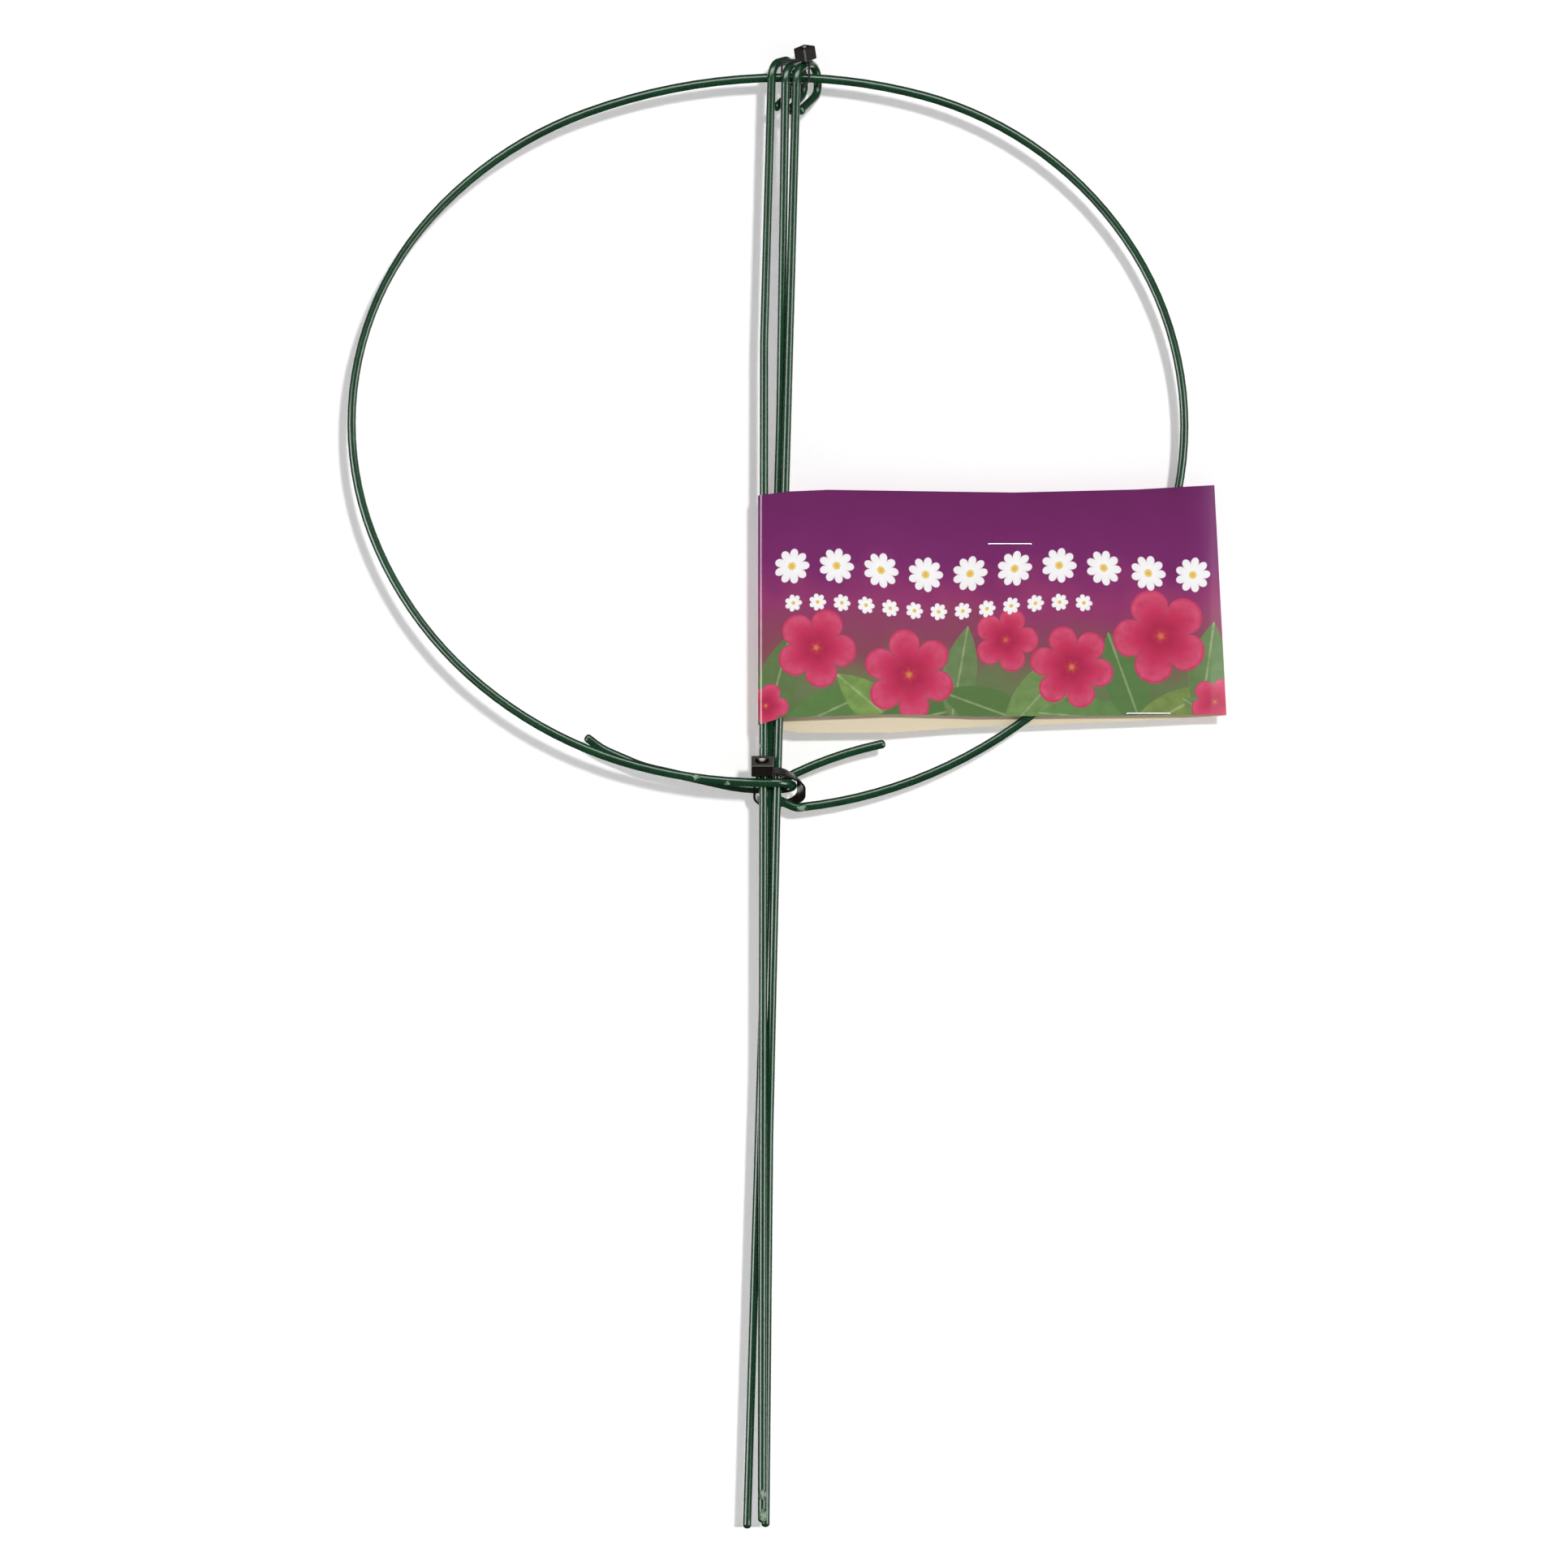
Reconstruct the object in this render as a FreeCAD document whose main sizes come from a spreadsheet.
"""A ring support for tall plants, packed flat: a wire hoop with a hook at each end, three wire legs
threaded on it by closed eyes, two cable ties and a folded card held by two staples.

Millimetres. +Z is up, the hoop stands in the XZ plane and is seen from -Y. The origin lies on the
ground under the bundle of leg tips.
"""
import FreeCAD, Part
import math
import os

import Sketcher

from FreeCAD import Placement, Rotation, Vector

# Driving sizes: alias, value, what it is.
SIZES = (
    ("core_dia", 3.8, "bare steel wire"),
    ("coat_wall", 0.35, "plastic coat on the wire"),
    ("coat_end", 1.5, "coat beyond the end of the steel"),
    ("wire_gap", 0.3, "daylight between neighbouring wires"),
    ("leg_length", 757.0, "ground to the top of the ring bundle"),
    ("hoop_width", 430.0, "hoop across, centre to centre of the wire"),
    ("foot_step", 12.6, "foot of the right half of the hoop below the foot of the left"),
    ("crown_drop", 7.6, "from the top of the legs down to the hoop's wire"),
    ("hook_bend", 9.9, "radius of the left hook's turn round the legs"),
    ("hook_return", 101.0, "how far the left hook runs back"),
    ("catch_bend", 5.7, "radius of the right hook's turn behind the legs"),
    ("catch_kink", 8.0, "radius of the kink before the right hook"),
    ("catch_run", 6.6, "straight wire between the kink and the turn"),
    ("catch_return", 55.4, "how far the right hook runs back"),
    ("eye_depth", 24.0, "leg eye, shaft to back, centre to centre"),
    ("eye_shoulder", 6.5, "front corner of an eye above the hoop's wire"),
    ("eye_rise", 4.0, "how much the top of an eye climbs to the back"),
    ("eye_front_bend", 8.5, "bend radius at the front corner of an eye"),
    ("eye_back_bend", 8.0, "bend radius at the back of an eye"),
    ("eye_drop", 16.0, "end of an eye below the hoop's wire"),
    ("pair_sag", 2.0, "how much lower the tied pair of legs hangs"),
    ("shaft_bend", 500.0, "radius of the slight bends in a leg"),
    ("tie_gap", 0.3, "daylight round a tie's strap"),
    ("top_strap_width", 2.5, "small tie, width of the strap"),
    ("top_strap_wall", 1.1, "small tie, thickness of the strap"),
    ("top_head_length", 8.2, "small tie, head along the strap"),
    ("top_head_width", 8.2, "small tie, head across the strap"),
    ("top_head_depth", 7.0, "small tie, depth of the head"),
    ("low_strap_width", 4.2, "large tie, width of the strap"),
    ("low_strap_wall", 1.2, "large tie, thickness of the strap"),
    ("low_head_length", 11.2, "large tie, head along the strap"),
    ("low_head_width", 7.6, "large tie, head across the strap"),
    ("low_head_depth", 8.4, "large tie, head outwards"),
    ("low_loop_left", 12.4, "large tie, inside of the loop left of its middle"),
    ("low_loop_right", 10.6, "large tie, inside of the loop right of its middle"),
    ("low_loop_through", 24.4, "large tie, loop from front to back"),
    ("low_loop_corner", 6.5, "large tie, corner radius of the loop at the left"),
    ("low_loop_bow", 8.0, "large tie, corner radius of the loop at the right"),
    ("low_loop_flare", 1.7, "large tie, how far its right side leans out at its lower edge"),
    ("low_loop_tilt", 40.0, "large tie, slope of the loop in degrees"),
    ("top_tail_stub", 0.3, "small tie, cut end of the tail beyond the head"),
    ("low_tail_stub", 1.6, "large tie, cut end of the tail beyond the head"),
    ("card_wall", 0.4, "thickness of the card"),
    ("card_width", 242.0, "card, fold to open edge"),
    ("card_height", 128.0, "card, before its edges are trimmed"),
    ("card_foot", 411.0, "lowest edge of the card above the ground"),
    ("staple_wire", 0.9, "staple wire"),
    ("staple_crown", 22.0, "staple crown, leg to leg"),
    ("staple_clinch", 7.0, "bent end of a staple's leg"),
    ("staple_bend", 0.6, "bend radius of a staple"),
    ("staple_gap", 0.1, "daylight between a staple and the card"),
    ("card_front_bend", 2.75, "bend radius of the card's fold at the front, to its middle surface"),
    ("card_back_bend", 4.8, "bend radius of the card's fold at the back, to its middle surface"),
    ("card_panel_bend", 60.0, "radius of the soft bends in the card's panels"),
)

# Each side of the hoop from its crown down: bend radius as a share of the hoop's width, degrees.
# The right side is then scaled so that its foot lies a fixed step below the left's.
LEFT_HOOP_SHARES = ((0.70, 20), (0.465, 28), (0.37, 63), (0.44, 27), (0.49, 27), (0.60, 15))
RIGHT_HOOP_SHARES = ((0.64, 15), (0.43, 43), (0.395, 61), (0.50, 21), (0.55, 34))
KINK_DEGREES = 30
CATCH_DEGREES = 128
RETURN_DEGREES = 16

# Legs from the tip up: height as a share of the leg, then across and back as shares of the pitch.
LEFT_LEG_SHARES = ((0.0045, 0.44, -0.5), (0.81, 0.65, -0.5), (1.0, 1.48, -0.5))
MIDDLE_LEG_SHARES = (
    (0.0, -1.19, 0.53),
    (0.489, 1.125, 0.51),
    (0.766, 2.40, 0.333),
    (1.0, 2.97, -1.2),
)
RIGHT_LEG_SHARES = (
    (0.001, 0.79, 0.52),
    (0.268, 1.19, 0.333),
    (0.489, 1.96, -0.5),
    (0.766, 3.15, -0.5),
    (1.0, 4.15, -1.2),
)
LEFT_EYE_TURN = 30
MIDDLE_EYE_TURN = 24
RIGHT_EYE_TURN = 28

# An eye: places along its depth and its drop, and its end as a share of the wire.
EYE_TOP_SHARE = 0.896
EYE_BACK_SHARE = 0.36
EYE_END_SHARE = 0.7

# The left hook: slope of its turn, then its return as shares (across, back, up) of its length, and
# the radius of each bend there as a share too.
HOOK_TILT_DEGREES = 9.8
HOOK_RETURN_SHARES = (
    (0.157, 0.0, 0.0),
    (0.672, -0.02, 0.116),
    (0.875, -0.03, 0.204),
    (0.963, -0.04, 0.271),
)
HOOK_RETURN_BEND_SHARES = (0.9, 0.6, 0.3)
CATCH_END_SHARE = 0.05
END_ROUND_SHARE = 0.9

# The small tie: how its head is turned (degrees) and where it sits, as shares of the head, and how
# far the loop hangs below the hoop's wire, as a share of that wire.
TOP_HEAD_YAW = 42
TOP_HEAD_PITCH = 18
TOP_HEAD_ROLL = -9
TOP_HEAD_INSET_SHARE = 0.31
TOP_HEAD_FORWARD_SHARE = 0.1
TOP_HEAD_LIFT_SHARE = 0.41
TOP_LOOP_FOOT_SHARE = 0.7

# The large tie: where its head sits, as shares of the head, where the middle of its loop sits from
# the middle of the legs and the hook's start, as shares of the pitch, and the corners on the
# right-hand half of the loop, as shares of its right side and of its half depth.
LOW_HEAD_SIDE_SHARE = -0.8
LOW_HEAD_OUT_SHARE = 0.535
LOW_LOOP_ACROSS = 2.31
LOW_LOOP_DROP = 0.475
LOW_LOOP_KNEE_SHARE = 0.11
LOW_LOOP_FRONT_SHARE = 0.41
LOW_LOOP_BACK_SHARE = 0.62
LOW_LOOP_HEEL_SHARE = 0.5
INNER_LEVEL_SHARE = 0.6

# Heads of both ties: eased edges, the window and the tail in it, as shares of the head.
HEAD_EASE_SHARE = 0.08
TAIL_WIDTH_SHARE = 0.42
WINDOW_LENGTH_SHARE = 0.62
WINDOW_WIDTH_SHARE = 0.45
WINDOW_DEPTH_SHARE = 0.3

# The card from the middle of its fold outwards: plan points as shares of its width (across) and of
# the pitch (back), then the outlines as shares of its width and its height.
FRONT_PLAN_SHARES = ((0, 0), (0, -1.073), (0.07, -1.073), (0.413, 0.396), (0.94, 0.396), (1, 1.05))
BACK_PLAN_SHARES = ((0, 0), (0, 1.06), (0.455, 2), (0.62, 2), (0.917, 1.73), (1, 1.19))
TOP_EDGE_SHARES = (
    (0.974, 1.0),
    (0.807, 0.982),
    (0.547, 0.970),
    (0.149, 0.980),
    (0.066, 0.973),
    (0.0, 0.957),
)
FRONT_FOOT_SHARES = ((0.0, 0.032), (0.054, 0.0625), (0.288, 0.076), (0.469, 0.066), (1.0, 0.073))
BACK_FOOT_SHARES = (
    (0.0, 0.032),
    (0.088, 0.0),
    (0.288, 0.002),
    (0.426, 0.02),
    (0.807, 0.049),
    (1.0, 0.069),
)
CARD_OVER_SHARE = 0.1

# Staples: left leg as a share of the card's width, height as a share of the card's height.
UPPER_STAPLE_SHARES = (0.492, 0.762)
LOWER_STAPLE_SHARES = (0.788, 0.078)

DOC = FreeCAD.newDocument("ring_support")


def build_sheet():
    sheet = DOC.addObject("Spreadsheet::Sheet", "Sizes")
    for row, (alias, value, note) in enumerate(SIZES, start=1):
        sheet.set("A%d" % row, alias)
        sheet.set("B%d" % row, str(value))
        sheet.set("C%d" % row, note)
        sheet.setAlias("B%d" % row, alias)
    DOC.recompute()
    return sheet


SHEET = build_sheet()


def size(alias):
    return float(SHEET.get(alias))


WIRE_DIA = size("core_dia") + 2 * size("coat_wall")
PITCH = WIRE_DIA + size("wire_gap")
CROWN_Z = size("leg_length") - size("crown_drop")
FRONT_Y = -0.5 * PITCH
HOOP_Y = FRONT_Y + PITCH
HOOK_FRONT_Y = FRONT_Y - PITCH - size("wire_gap")
CATCH_Y = HOOP_Y + PITCH
CROWN_X = 2.96 * PITCH
HOOK_CENTRE_X = 1.64 * PITCH


def rounded_route(points, radii):
    """Straight runs through the points, joined by tangent arcs of the given radii.

    A route is a list of runs: two points for a straight one, three for an arc.
    """
    runs = []
    start = points[0]
    for before, corner, after, radius in zip(points, points[1:], points[2:], radii):
        towards = (corner - before).normalize()
        away = (after - corner).normalize()
        half_turn = towards.getAngle(away) / 2
        reach = radius * math.tan(half_turn)
        arc_start = corner - towards * reach
        arc_end = corner + away * reach
        inward = (away - towards).normalize()
        middle = corner + inward * (radius / math.cos(half_turn) - radius)
        runs.append((start, arc_start))
        runs.append((arc_start, middle, arc_end))
        start = arc_end
    runs.append((start, points[-1]))
    return runs


def backwards(runs):
    return [tuple(reversed(run)) for run in reversed(runs)]


def trimmed(runs, amount):
    """The same route with its two straight end runs made shorter."""
    first_start, first_end = runs[0]
    last_start, last_end = runs[-1]
    new_start = first_start + (first_end - first_start).normalize() * amount
    new_end = last_end - (last_end - last_start).normalize() * amount
    return [(new_start, first_end)] + runs[1:-1] + [(last_start, new_end)]


def route_edges(runs):
    edges = []
    for run in runs:
        if len(run) == 2:
            edges.append(Part.LineSegment(*run).toShape())
        else:
            edges.append(Part.Arc(*run).toShape())
    return edges


def swept_wire(label, runs, diameter_expression):
    """A round wire along a route that starts with a straight run."""
    route = DOC.addObject("Part::Feature", label + "_route")
    route.Shape = Part.Wire(route_edges(runs))
    section = DOC.addObject("Part::Circle", label + "_section")
    section.setExpression("Radius", diameter_expression + " / 2")
    start, towards = runs[0]
    section.Placement = Placement(start, Rotation(Vector(0, 0, 1), towards - start))
    sweep = DOC.addObject("Part::Sweep", label)
    sweep.Sections = [section]
    sweep.Spine = (route, ["Edge%d" % number for number in range(1, len(runs) + 1)])
    sweep.Solid = True
    sweep.Frenet = False
    DOC.recompute()
    return sweep


def rounded_ends(label, tube, radius):
    """The tube with the rim of each flat end rounded over."""
    rims = []
    for number, edge in enumerate(tube.Shape.Edges, start=1):
        faces = tube.Shape.ancestorsOfType(edge, Part.Face)
        if any(face.Surface.TypeId == "Part::GeomPlane" for face in faces):
            rims.append((number, radius, radius))
    fillet = DOC.addObject("Part::Fillet", label)
    fillet.Base = tube
    fillet.Edges = rims
    DOC.recompute()
    return fillet


def coated_wire(label, runs):
    """The steel core and the plastic coat round it, as two pieces."""
    core = swept_wire(label + "_core", trimmed(runs, size("coat_end")), "Sizes.core_dia")
    outside = swept_wire(label + "_outside", runs, "(Sizes.core_dia + 2 * Sizes.coat_wall)")
    rounded = rounded_ends(label + "_rounded", outside, END_ROUND_SHARE * WIRE_DIA / 2)
    coat = DOC.addObject("Part::Cut", label + "_coating")
    coat.Base = rounded
    coat.Tool = core
    DOC.recompute()
    return [core, coat]


class HoopRoute:
    """Tangent arcs in a plane that hangs from the hoop's crown, leaning forwards or back."""

    def __init__(self, side, lean):
        self.side = side
        self.lean = lean
        self.across = 0.0
        self.down = 0.0
        self.heading = 0.0
        self.runs = []

    def point(self):
        return Vector(
            CROWN_X + self.side * self.across,
            HOOP_Y + self.down * math.sin(self.lean),
            CROWN_Z - self.down * math.cos(self.lean),
        )

    def bend(self, radius, degrees):
        points = [self.point()]
        centre_across = self.across - radius * math.sin(self.heading)
        centre_down = self.down + radius * math.cos(self.heading)
        for step in range(2):
            self.heading += math.radians(degrees) / 2
            self.across = centre_across + radius * math.sin(self.heading)
            self.down = centre_down - radius * math.cos(self.heading)
            points.append(self.point())
        self.runs.append(tuple(points))

    def straight(self, length):
        start = self.point()
        self.across += length * math.cos(self.heading)
        self.down += length * math.sin(self.heading)
        self.runs.append((start, self.point()))

    def follow(self, shares, width):
        for share, degrees in shares:
            self.bend(share * width, degrees)


def hoop_drop(shares, width):
    """How far below the crown the foot of a half hoop lies."""
    upright = HoopRoute(1, 0.0)
    upright.follow(shares, width)
    return upright.down


def hoop_lean(drop, low_y):
    """The lean that brings the foot of a half hoop to the given distance from the viewer."""
    return math.asin((low_y - HOOP_Y) / drop)


def left_hoop():
    """From the crown down the left, in front of the legs, to where the hook starts to turn."""
    width = size("hoop_width")
    route = HoopRoute(-1, hoop_lean(hoop_drop(LEFT_HOOP_SHARES, width), HOOK_FRONT_Y))
    route.follow(LEFT_HOOP_SHARES, width)
    route.straight(route.across - (CROWN_X - HOOK_CENTRE_X))
    return route


def left_hook(start):
    """The turn round the right of the legs and the end that runs back behind the hoop."""
    tilt = math.radians(HOOK_TILT_DEGREES)
    through = Vector(0, math.cos(tilt), -math.sin(tilt))
    bend = size("hook_bend")
    centre = start + through * bend
    finish = centre + through * bend
    turn = [(start, centre + Vector(bend, 0, 0), finish)]
    reach = size("hook_return")
    points = [finish]
    for across_share, back_share, up_share in HOOK_RETURN_SHARES:
        points.append(finish + Vector(-across_share, back_share, up_share) * reach)
    return turn + rounded_route(points, [share * reach for share in HOOK_RETURN_BEND_SHARES])


def right_hoop():
    """From the crown down the right, as far as the left half needs, then the hook behind the legs."""
    drop = LEFT_HOOP.down + size("foot_step")
    route = HoopRoute(1, hoop_lean(drop, CATCH_Y))
    route.follow(RIGHT_HOOP_SHARES, drop / hoop_drop(RIGHT_HOOP_SHARES, 1.0))
    route.bend(size("catch_kink"), KINK_DEGREES)
    route.straight(size("catch_run"))
    route.bend(size("catch_bend"), CATCH_DEGREES)
    sweep = math.radians(RETURN_DEGREES)
    route.bend(size("catch_return") / sweep, RETURN_DEGREES)
    route.straight(CATCH_END_SHARE * size("catch_return"))
    return route


LEFT_HOOP = left_hoop()
HOOK_START = LEFT_HOOP.point()


def build_hoop():
    left = LEFT_HOOP.runs + left_hook(HOOK_START)
    return coated_wire("hoop", backwards(left) + right_hoop().runs)


def leg_stations(shares, sag):
    """The points of a leg's shaft from its tip to the front corner of its eye."""
    height = CROWN_Z + size("eye_shoulder") - sag
    points = []
    for height_share, across_share, back_share in shares:
        points.append(Vector(across_share * PITCH, back_share * PITCH, height_share * height))
    return points


def build_leg(label, shares, eye_turn, sag):
    """A straight shaft that bends back over the hoop and closes on itself as an eye."""
    points = leg_stations(shares, sag)
    radii = [size("shaft_bend")] * (len(points) - 2)
    corner = points[-1]
    turn = math.radians(eye_turn)
    back = Vector(math.sin(turn), math.cos(turn), 0)
    level = corner.z - size("eye_shoulder")
    depth = size("eye_depth")

    def in_eye(reach, rise):
        spot = corner + back * reach
        return Vector(spot.x, spot.y, level + rise)

    points.append(in_eye(EYE_TOP_SHARE * depth, size("eye_shoulder") + size("eye_rise")))
    points.append(in_eye(depth, -EYE_BACK_SHARE * size("eye_drop")))
    points.append(in_eye(EYE_END_SHARE * WIRE_DIA, -size("eye_drop")))
    radii += [size("eye_front_bend"), size("eye_back_bend"), size("eye_back_bend")]
    return coated_wire(label, rounded_route(points, radii))


def bound_box(label, expressions, centre, rotation):
    """A box with its sizes bound to the sheet and its middle at the given place."""
    box = DOC.addObject("Part::Box", label)
    for side, expression in zip(("Length", "Width", "Height"), expressions):
        box.setExpression(side, expression)
    DOC.recompute()
    half = Vector(box.Length.Value, box.Width.Value, box.Height.Value) / 2
    box.Placement = Placement(centre - rotation.multVec(half), rotation)
    return box


def joined(kind, label, pieces):
    """One solid from several: a fusion, or a cut of all the others from the first."""
    if kind == "fuse":
        whole = DOC.addObject("Part::MultiFuse", label)
        whole.Shapes = pieces
    else:
        whole = DOC.addObject("Part::Cut", label)
        whole.Base = pieces[0]
        whole.Tool = pieces[1]
    DOC.recompute()
    return whole


def side_rounded(label, box, radius):
    """A box with its four edges along Y rounded."""
    fillet = DOC.addObject("Part::Fillet", label)
    fillet.Base = box
    picked = []
    for number, edge in enumerate(box.Shape.Edges, start=1):
        along = edge.tangentAt(edge.FirstParameter)
        if along.cross(Vector(0, 1, 0)).Length < along.Length / 2:
            picked.append((number, radius, radius))
    fillet.Edges = picked
    DOC.recompute()
    return fillet


def top_loop(across, through):
    """The small tie's strap as a rounded rectangle: across X, wide along Y, through Z."""
    width = "Sizes.top_strap_width"
    wall = " + 2 * Sizes.top_strap_wall"
    upright = Rotation()
    middle = Vector(0, 0, 0)
    hollow = bound_box("top_tie_hollow", (across, "2 * " + width, through), middle, upright)
    block = bound_box("top_tie_block", (across + wall, width, through + wall), middle, upright)
    corner = size("top_strap_width")
    inside = side_rounded("top_tie_inside", hollow, corner)
    outside = side_rounded("top_tie_outside", block, corner + size("top_strap_wall"))
    return joined("cut", "top_tie_strap", [outside, inside])


def tie_head(tie, centre, turn, wall):
    """A head with the window in its outer face and the cut tail standing in it."""
    label = tie + "_tie_head"
    length, width, depth = ["Sizes.%s_head_%s" % (tie, side) for side in ("length", "width", "depth")]
    outwards = turn.multVec(Vector(0, 0, 1))
    block = bound_box(label + "_block", (length, width, depth), centre, turn)
    eased = DOC.addObject("Part::Fillet", label + "_eased")
    eased.Base = block
    easing = HEAD_EASE_SHARE * block.Width.Value
    eased.Edges = [(number, easing, easing) for number in range(1, len(block.Shape.Edges) + 1)]
    DOC.recompute()
    face = centre + outwards * (block.Height.Value / 2)
    shares = (WINDOW_LENGTH_SHARE, WINDOW_WIDTH_SHARE, 2 * WINDOW_DEPTH_SHARE)
    window_sizes = ["%r * %s" % pair for pair in zip(shares, (length, width, depth))]
    window = bound_box(label + "_window", window_sizes, face, turn)
    head = joined("cut", label + "_open", [eased, window])
    window_depth = WINDOW_DEPTH_SHARE * block.Height.Value
    tail_length = "%r * %s + Sizes.%s_tail_stub + %s" % (WINDOW_DEPTH_SHARE, depth, tie, wall)
    tail_sizes = ("%r * %s" % (TAIL_WIDTH_SHARE, length), wall, tail_length)
    wall_size = size(wall.replace("Sizes.", ""))
    tail_centre = face + outwards * ((size(tie + "_tail_stub") - window_depth - wall_size) / 2)
    return [head, bound_box(label + "_tail", tail_sizes, tail_centre, turn)]


def build_top_tie():
    """The small tie round the tops of the middle and right eyes, in front of the hoop's wire."""
    width = size("top_strap_width")
    wall = size("top_strap_wall")
    gap = size("tie_gap")
    strap_y = HOOP_Y - WIRE_DIA / 2 - gap - width / 2
    sag = size("pair_sag")
    middle = leg_stations(MIDDLE_LEG_SHARES, sag)[-1]
    right = leg_stations(RIGHT_LEG_SHARES, sag)[-1]
    left_turn = math.radians(MIDDLE_EYE_TURN)
    right_turn = math.radians(RIGHT_EYE_TURN)
    nearest = strap_y - width / 2 - middle.y
    farthest = strap_y + width / 2 - middle.y
    inner_left = middle.x + nearest * math.tan(left_turn) - WIRE_DIA / 2 / math.cos(left_turn) - gap
    inner_right = right.x + farthest * math.tan(right_turn) + WIRE_DIA / 2 / math.cos(right_turn) + gap
    climb = size("eye_rise") / (EYE_TOP_SHARE * size("eye_depth"))
    eye_top = middle.z + farthest / math.cos(left_turn) * climb
    inner_top = eye_top + WIRE_DIA / 2 * math.sqrt(1 + climb * climb) + gap
    inner_foot = CROWN_Z - TOP_LOOP_FOOT_SHARE * WIRE_DIA
    loop = top_loop("%r" % (inner_right - inner_left), "%r" % (inner_top - inner_foot))
    middle_place = Vector((inner_left + inner_right) / 2, strap_y, (inner_top + inner_foot) / 2)
    yaw = Rotation(Vector(0, 0, 1), TOP_HEAD_YAW)
    turn = Rotation(Vector(0, 1, 0), TOP_HEAD_ROLL) * Rotation(Vector(1, 0, 0), TOP_HEAD_PITCH) * yaw
    side = size("top_head_width")
    head_centre = Vector(
        inner_right + wall - TOP_HEAD_INSET_SHARE * side,
        strap_y - TOP_HEAD_FORWARD_SHARE * side,
        inner_top + wall + TOP_HEAD_LIFT_SHARE * size("top_head_depth"),
    )
    head = tie_head("top", head_centre - middle_place, turn, "Sizes.top_strap_wall")
    tie = joined("fuse", "top_cable_tie", [loop] + head)
    tie.Placement = Placement(middle_place, Rotation())
    return tie


def strap_edge(label, level_share):
    """The large tie's loop, inside, at one level of the strap: its right side leans outwards."""
    front = size("low_loop_through") / 2
    left = size("low_loop_left")
    right = size("low_loop_right")
    leant = right - 2 * level_share * size("low_loop_flare")
    corners = (
        (-left, -front),
        (-left, front),
        (LOW_LOOP_KNEE_SHARE * right, front),
        (leant, LOW_LOOP_FRONT_SHARE * front),
        (leant, -LOW_LOOP_BACK_SHARE * front),
        (LOW_LOOP_HEEL_SHARE * right, -front),
    )
    points = [Vector(x, level_share * size("low_strap_width"), z) for x, z in corners]
    start = (points[0] + points[-1]) / 2
    corner = size("low_loop_corner")
    bow = size("low_loop_bow")
    radii = [corner, corner, bow, bow, corner, corner]
    edge = DOC.addObject("Part::Feature", label)
    edge.Shape = Part.Wire(route_edges(rounded_route([start] + points + [start], radii)))
    return edge


def lofted(label, sections):
    loft = DOC.addObject("Part::Loft", label)
    loft.Sections = sections
    loft.Solid = True
    loft.Ruled = True
    DOC.recompute()
    return loft


def bottom_loop():
    """The large tie's strap, in the loop's own frame: across X, wide along Y, through Z."""
    outer_edges = []
    for label, level_share in (("bottom_tie_lower", -0.5), ("bottom_tie_upper", 0.5)):
        outer = DOC.addObject("Part::Offset2D", label + "_outside")
        outer.Source = strap_edge(label + "_edge", level_share)
        outer.setExpression("Value", "Sizes.low_strap_wall")
        outer_edges.append(outer)
    inner_edges = [
        strap_edge("bottom_tie_below", -INNER_LEVEL_SHARE),
        strap_edge("bottom_tie_above", INNER_LEVEL_SHARE),
    ]
    DOC.recompute()
    outside = lofted("bottom_tie_outside", outer_edges)
    inside = lofted("bottom_tie_inside", inner_edges)
    return joined("cut", "bottom_tie_strap", [outside, inside])


def build_bottom_tie():
    """The large tie round the legs and both hooks, sloping down to the back."""
    out = size("low_loop_through") / 2 + LOW_HEAD_OUT_SHARE * size("low_head_depth")
    head_centre = Vector(LOW_HEAD_SIDE_SHARE * size("low_head_length"), 0, out)
    head = tie_head("low", head_centre, Rotation(), "Sizes.low_strap_wall")
    tie = joined("fuse", "bottom_cable_tie", [bottom_loop()] + head)
    centre = Vector(LOW_LOOP_ACROSS * PITCH, HOOP_Y, HOOK_START.z - LOW_LOOP_DROP * PITCH)
    tie.Placement = Placement(centre, Rotation(Vector(1, 0, 0), 90 - size("low_loop_tilt")))
    return tie


def card_point(across_share, up_share):
    height = size("card_foot") + up_share * size("card_height")
    return Vector(across_share * size("card_width"), 0, height)


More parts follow.
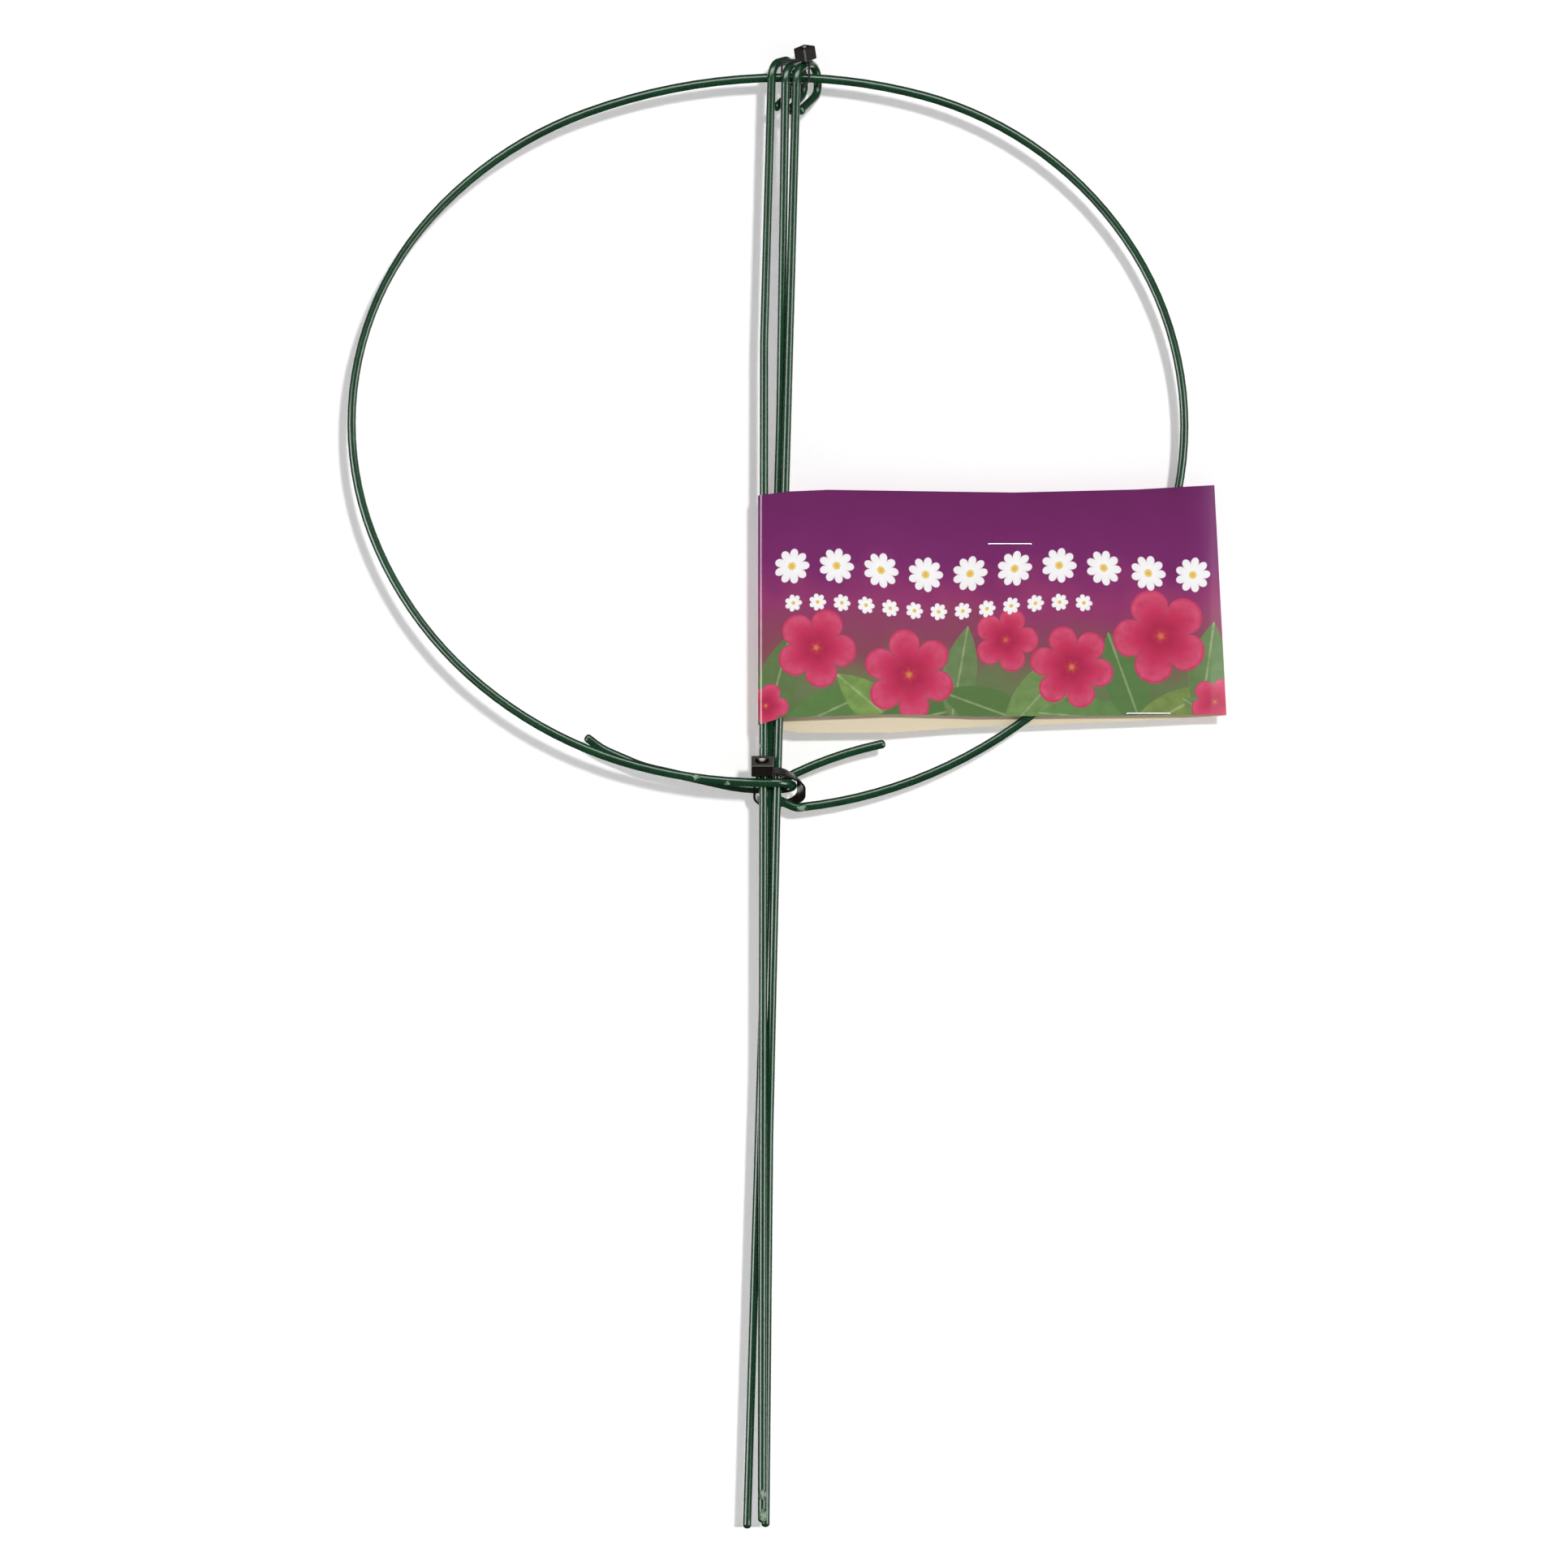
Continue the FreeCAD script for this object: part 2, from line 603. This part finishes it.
def card_panel(label, plan_shares, foot_shares, fold_bend):
    """One panel: a tall thin section run along its plan, trimmed to its outline."""
    points = [Vector(a * size("card_width"), b * PITCH, size("card_foot")) for a, b in plan_shares]
    radii = [fold_bend] + [size("card_panel_bend")] * (len(points) - 3)
    runs = rounded_route(points, radii)
    route = DOC.addObject("Part::Feature", label + "_route")
    route.Shape = Part.Wire(route_edges(runs))
    section = DOC.addObject("Sketcher::SketchObject", label + "_section")
    corners = [Vector(x, y, 0) for x, y in ((-1, 0), (1, 0), (1, 1), (-1, 1))]
    for first, second in zip(corners, corners[1:] + corners[:1]):
        section.addGeometry(Part.LineSegment(first, second))
    for side in range(4):
        section.addConstraint(Sketcher.Constraint("Coincident", side, 2, (side + 1) % 4, 1))
    for side, kind in enumerate(("Horizontal", "Vertical", "Horizontal", "Vertical")):
        section.addConstraint(Sketcher.Constraint(kind, side))
    section.addConstraint(Sketcher.Constraint("Symmetric", 0, 1, 0, 2, -1, 1))
    wall = section.addConstraint(Sketcher.Constraint("DistanceX", 0, 1, 0, 2, size("card_wall")))
    tall = section.addConstraint(Sketcher.Constraint("DistanceY", 1, 1, 1, 2, size("card_height")))
    section.setExpression("Constraints[%d]" % wall, "Sizes.card_wall")
    section.setExpression("Constraints[%d]" % tall, "Sizes.card_height")
    towards = (runs[0][1] - runs[0][0]).normalize()
    sideways = Vector(0, 0, 1).cross(towards)
    frame = FreeCAD.Matrix(
        sideways.x, 0, towards.x, points[0].x,
        sideways.y, 0, towards.y, points[0].y,
        0, 1, 0, points[0].z,
        0, 0, 0, 1,
    )
    section.Placement = Placement(frame)
    sweep = DOC.addObject("Part::Sweep", label + "_sweep")
    sweep.Sections = [section]
    sweep.Spine = (route, ["Edge%d" % number for number in range(1, len(runs) + 1)])
    sweep.Solid = True
    outline = DOC.addObject("Part::Polygon", label + "_outline")
    left = [card_point(-CARD_OVER_SHARE, share) for share in (TOP_EDGE_SHARES[-1][1], foot_shares[0][1])]
    outline.Nodes = [card_point(*shares) for shares in foot_shares + TOP_EDGE_SHARES] + left
    outline.Close = True
    prism = DOC.addObject("Part::Extrusion", label + "_prism")
    prism.Base = outline
    prism.DirMode = "Custom"
    prism.Dir = Vector(0, 1, 0)
    prism.LengthFwd = CARD_OVER_SHARE * size("card_width")
    prism.LengthRev = CARD_OVER_SHARE * size("card_width")
    prism.Solid = True
    panel = DOC.addObject("Part::MultiCommon", label)
    panel.Shapes = [sweep, prism]
    DOC.recompute()
    return panel


def staple_place(shares):
    """The middle of a staple's crown: outside the front panel."""
    across_share, up_share = shares
    front = FRONT_PLAN_SHARES[3][1] * PITCH - size("card_wall") / 2
    spot = card_point(across_share, up_share)
    return Vector(spot.x, front - size("staple_gap") - size("staple_wire") / 2, spot.z)


def build_staple(label, shares, back_share):
    """A crown in front, two legs through both panels and their ends bent inwards behind."""
    start = staple_place(shares)
    behind = back_share * PITCH + size("card_wall") / 2 + size("staple_gap") + size("staple_wire") / 2
    crown = Vector(size("staple_crown"), 0, 0)
    clinch = Vector(size("staple_clinch"), 0, 0)
    back = Vector(start.x, behind, start.z)
    points = [back + clinch, back, start, start + crown, back + crown, back + crown - clinch]
    runs = rounded_route(points, [size("staple_bend")] * (len(points) - 2))
    return swept_wire(label, runs, "Sizes.staple_wire")


def build_card():
    """Front and back panels joined along the fold, with the staples' four holes."""
    front = card_panel("card_front", FRONT_PLAN_SHARES, FRONT_FOOT_SHARES, size("card_front_bend"))
    back = card_panel("card_back", BACK_PLAN_SHARES, BACK_FOOT_SHARES, size("card_back_bend"))
    folded = joined("fuse", "card_folded", [front, back])
    holes = []
    for shares in (UPPER_STAPLE_SHARES, LOWER_STAPLE_SHARES):
        start = staple_place(shares)
        for leg in range(2):
            hole = DOC.addObject("Part::Cylinder", "staple_hole_%d" % (len(holes) + 1))
            hole.setExpression("Radius", "Sizes.staple_wire / 2 + Sizes.staple_gap")
            hole.setExpression("Height", "%r * Sizes.card_width" % CARD_OVER_SHARE)
            place = start + Vector(size("staple_crown"), 0, 0) * leg
            hole.Placement = Placement(place, Rotation(Vector(1, 0, 0), -90))
            holes.append(hole)
    return joined("cut", "label_card", [folded, joined("fuse", "card_holes", holes)])


def check(part):
    broken = {"Invalid", "Error"}.intersection(part.State)
    if broken or part.Shape.isNull() or not part.Shape.isValid():
        raise ValueError(part.Label + " is not sound: " + ", ".join(sorted(broken)))


def export(parts):
    """Each finished piece to a file of its own, once everything in the document is sound."""
    DOC.recompute()
    for thing in DOC.Objects:
        if {"Invalid", "Error"}.intersection(thing.State):
            raise ValueError(thing.Label + " did not compute")
    os.makedirs("parts", exist_ok=True)
    for part in parts:
        check(part)
        part.Shape.exportStep("parts/%s.step" % part.Label)


PARTS = build_hoop()
PARTS += build_leg("left_leg", LEFT_LEG_SHARES, LEFT_EYE_TURN, 0.0)
PARTS += build_leg("middle_leg", MIDDLE_LEG_SHARES, MIDDLE_EYE_TURN, size("pair_sag"))
PARTS += build_leg("right_leg", RIGHT_LEG_SHARES, RIGHT_EYE_TURN, size("pair_sag"))
PARTS += [build_top_tie(), build_bottom_tie(), build_card()]
PARTS += [build_staple("upper_staple", UPPER_STAPLE_SHARES, 2.0)]
PARTS += [build_staple("lower_staple", LOWER_STAPLE_SHARES, 1.87)]
export(PARTS)
